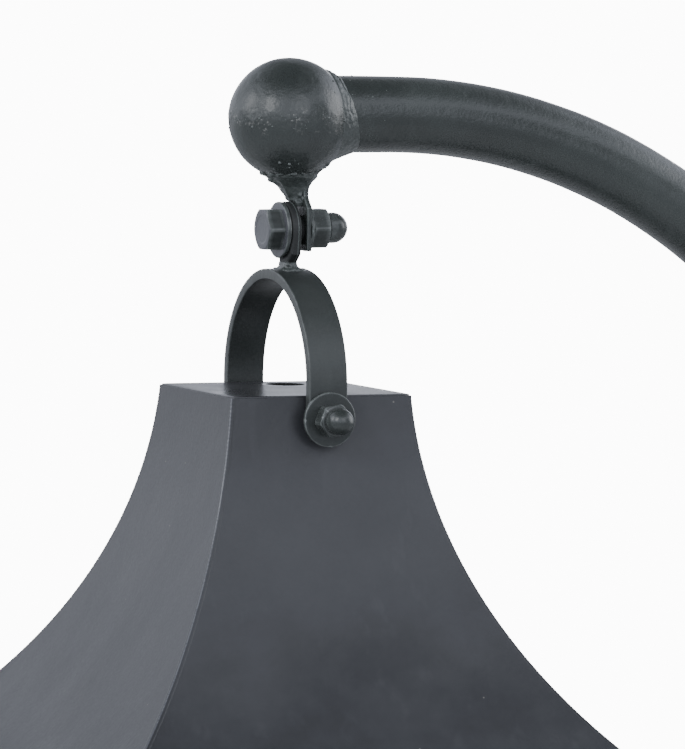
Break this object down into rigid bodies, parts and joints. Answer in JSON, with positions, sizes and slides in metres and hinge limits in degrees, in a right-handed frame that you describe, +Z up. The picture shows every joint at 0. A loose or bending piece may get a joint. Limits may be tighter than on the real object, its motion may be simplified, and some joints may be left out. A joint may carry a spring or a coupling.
{
  "type": "yard dinner bell",
  "caption": "Square flared steel yard bell with a clapper, hung by an arched strap and hinge from the ball end of a bent pipe arm on a post.",
  "frame": {"origin": "centre of the ground plate's underside, on the post's axis", "axes": "+Z up along the post; the arm reaches out along -X; the bell's cross rod lies along Y and the hinge bolt along X"},
  "size_m": [0.9116, 0.5, 1.8111],
  "materials": {
    "stand_paint": "satin black paint over rolled steel and pipe",
    "bell_paint": "satin black paint over sheet steel",
    "weld_paint": "semi-gloss black paint over weld beads",
    "fastener_paint": "semi-gloss black paint over bolts, nuts and washers",
    "clapper_paint": "satin black paint, worn where the ball strikes"
  },
  "bodies": {
    "stand": {"base_plate": "stand_paint", "base_weld": "weld_paint", "gussets": "stand_paint", "post": "stand_paint", "splice_tube": "stand_paint", "splice_bolts": "fastener_paint", "splice_washers": "fastener_paint", "splice_nuts": "fastener_paint", "arm": "stand_paint", "arm_weld": "weld_paint", "ball": "stand_paint", "upper_lug": "stand_paint", "upper_lug_weld": "weld_paint", "hinge_bolt": "fastener_paint", "hinge_head_washer": "fastener_paint", "hinge_spacer": "fastener_paint", "hinge_nut_washer": "fastener_paint", "hinge_nut": "fastener_paint"},
    "hanger": {"lower_lug": "stand_paint", "lower_lug_weld": "weld_paint", "strap": "stand_paint"},
    "bell": {"top_plate": "bell_paint", "front_panel": "bell_paint", "back_panel": "bell_paint", "left_panel": "bell_paint", "right_panel": "bell_paint", "corner_welds": "weld_paint", "cross_rod": "fastener_paint", "bevel_washers": "fastener_paint", "inner_nuts": "fastener_paint", "leg_washers": "fastener_paint", "cap_nuts": "fastener_paint", "hub_collars": "fastener_paint", "collar_screws": "fastener_paint"},
    "clapper": {"clapper_hub": "clapper_paint", "clapper_rod": "clapper_paint", "clapper_ball": "clapper_paint"}
  },
  "joints": [
    {"name": "hanger_swing", "type": "hinge", "parent": "stand", "child": "hanger", "pos_m": [-0.448, 0, 1.7032], "axis": [1, 0, 0], "range_deg": [-40, 40]},
    {"name": "bell_tilt", "type": "hinge", "parent": "hanger", "child": "bell", "pos_m": [-0.448, 0, 1.5895], "axis": [0, 1, 0], "range_deg": [-25, 25]},
    {"name": "clapper_swing", "type": "hinge", "parent": "bell", "child": "clapper", "pos_m": [-0.448, 0, 1.5895], "axis": [0, 1, 0], "range_deg": [-29.5, 29.5]}
  ]
}
